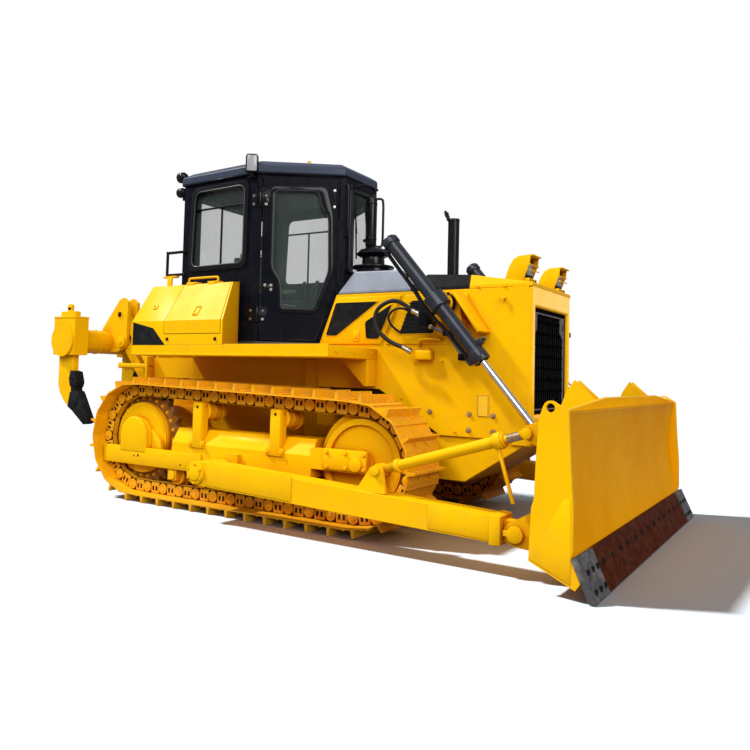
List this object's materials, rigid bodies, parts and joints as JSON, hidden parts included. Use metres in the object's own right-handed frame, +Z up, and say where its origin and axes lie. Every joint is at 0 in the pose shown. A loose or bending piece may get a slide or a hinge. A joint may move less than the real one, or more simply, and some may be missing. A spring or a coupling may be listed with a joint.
{
  "type": "bulldozer",
  "caption": "Crawler bulldozer with a straight-tilt blade raised by hydraulic cylinders, a six-sided cab and a parallelogram ripper with shanks behind.",
  "frame": {"origin": "middle of the whole machine's box, on the ground", "axes": "+X forward to the blade, +Y to the machine's left, +Z up"},
  "size_m": [5.8539, 3.388, 3.175],
  "materials": {
    "black_paint": "gloss",
    "chrome_rod": "polished",
    "dark_glass": "polished",
    "dark_iron": "matte",
    "interior_plastic": "matte",
    "lamp_black": "matte",
    "seat_fabric": "matte",
    "track_steel": "matte",
    "worn_steel": "satin",
    "yellow_paint": "gloss"
  },
  "bodies": {
    "tractor": {"cab_fittings": "interior_plastic", "cab_floor": "interior_plastic", "cab_front_panel": "black_paint", "cab_glass": "dark_glass", "cab_lamps": "lamp_black", "cab_mirrors": "black_paint", "cab_rear_panel": "yellow_paint", "cab_roof": "yellow_paint", "cab_side_panels": "black_paint", "cowl": "yellow_paint", "engine_block": "dark_iron", "engine_side_panels": "yellow_paint", "equalizer_bar": "yellow_paint", "exhaust": "black_paint", "final_drives": "yellow_paint", "grab_rails": "black_paint", "headlamps": "lamp_black", "hood": "yellow_paint", "hood_rear": "black_paint", "idlers": "yellow_paint", "lift_yokes": "yellow_paint", "main_frame": "yellow_paint", "platform": "yellow_paint", "precleaner": "black_paint", "radiator_core": "dark_iron", "radiator_grille": "dark_iron", "radiator_mask": "yellow_paint", "ripper_mount": "yellow_paint", "seat_cushions": "seat_fabric", "sprockets": "track_steel", "tank_left": "yellow_paint", "tool_box_right": "yellow_paint", "track_frame_left": "yellow_paint", "track_frame_right": "yellow_paint", "track_left": "track_steel", "track_right": "track_steel", "track_rollers": "yellow_paint", "transmission_case": "dark_iron"},
    "blade": {"mouldboard": "yellow_paint", "blade_back": "yellow_paint", "blade_brackets": "yellow_paint", "cutting_edge": "worn_steel", "end_bits": "worn_steel", "push_arms": "yellow_paint", "screw_brace_right": "yellow_paint", "tilt_cylinder_left": "black_paint"},
    "lift_barrels": {"lift_barrels": "black_paint"},
    "lift_rods": {"lift_rods": "chrome_rod"},
    "door_left": {"door_left": "yellow_paint", "door_glass_left": "dark_glass"},
    "door_right": {"door_right": "yellow_paint", "door_glass_right": "dark_glass"},
    "tool_box_lid": {"tool_box_lid": "yellow_paint"},
    "ripper_lower": {"ripper_lower_links": "yellow_paint"},
    "ripper_upper": {"ripper_upper_links": "yellow_paint"},
    "ripper_beam": {"ripper_beam": "yellow_paint", "ripper_shanks": "yellow_paint", "ripper_teeth": "dark_iron"},
    "ripper_barrels": {"ripper_barrels": "black_paint"},
    "ripper_rods": {"ripper_rods": "chrome_rod"}
  },
  "joints": [
    {"name": "blade_lift", "type": "hinge", "parent": "tractor", "child": "blade", "pos_m": [-0.223, 0, 0.385], "axis": [0, -1, 0], "range_deg": [-10, 20.5]},
    {"name": "lift_swing", "type": "hinge", "parent": "tractor", "child": "lift_barrels", "pos_m": [1.532, 0, 1.764], "axis": [0, -1, 0], "range_deg": [-13.77, 27.18]},
    {"name": "lift_stroke", "type": "slide", "parent": "lift_barrels", "child": "lift_rods", "axis": [0.6444, 0, -0.7647], "range_m": [-0.7696, 0.378]},
    {"name": "ripper_lift", "type": "hinge", "parent": "tractor", "child": "ripper_lower", "pos_m": [-2.006, 0, 0.918], "axis": [0, -1, 0], "range_deg": [0, 101.8]},
    {"name": "ripper_level", "type": "hinge", "parent": "ripper_lower", "child": "ripper_beam", "pos_m": [-2.479, 0, 1.5], "axis": [0, -1, 0], "range_deg": [-102.8, 1]},
    {"name": "ripper_upper", "type": "hinge", "parent": "tractor", "child": "ripper_upper", "pos_m": [-2.05, 0, 1.218], "axis": [0, -1, 0], "range_deg": [-1, 102.8]},
    {"name": "ripper_swing", "type": "hinge", "parent": "tractor", "child": "ripper_barrels", "pos_m": [-1.973, 0, 1.9], "axis": [0, -1, 0], "range_deg": [-1, 5.58]},
    {"name": "ripper_stroke", "type": "slide", "parent": "ripper_barrels", "child": "ripper_rods", "axis": [-0.3231, 0, -0.9464], "range_m": [-0.005, 0.5505]},
    {"name": "door_left_open", "type": "hinge", "parent": "tractor", "child": "door_left", "pos_m": [-0.2626, 0.7472, 2.2], "axis": [0, 0, 1], "range_deg": [0, 95]},
    {"name": "door_right_open", "type": "hinge", "parent": "tractor", "child": "door_right", "pos_m": [-0.2626, -0.7472, 2.2], "axis": [0, 0, -1], "range_deg": [0, 95]},
    {"name": "lid_open", "type": "hinge", "parent": "tractor", "child": "tool_box_lid", "pos_m": [-0.673, -0.95, 2.002], "axis": [-1, 0, 0], "range_deg": [0, 80]}
  ],
  "couplings": [
    {"joint": "lift_swing", "follows": "blade_lift", "ratio": 1.277},
    {"joint": "lift_stroke", "follows": "blade_lift", "m_per_rad": -2.137},
    {"joint": "ripper_level", "follows": "ripper_lift", "ratio": -1},
    {"joint": "ripper_upper", "follows": "ripper_lift", "ratio": 1},
    {"joint": "ripper_swing", "follows": "ripper_lift", "ratio": 0.045},
    {"joint": "ripper_stroke", "follows": "ripper_lift", "m_per_rad": 0.307}
  ]
}
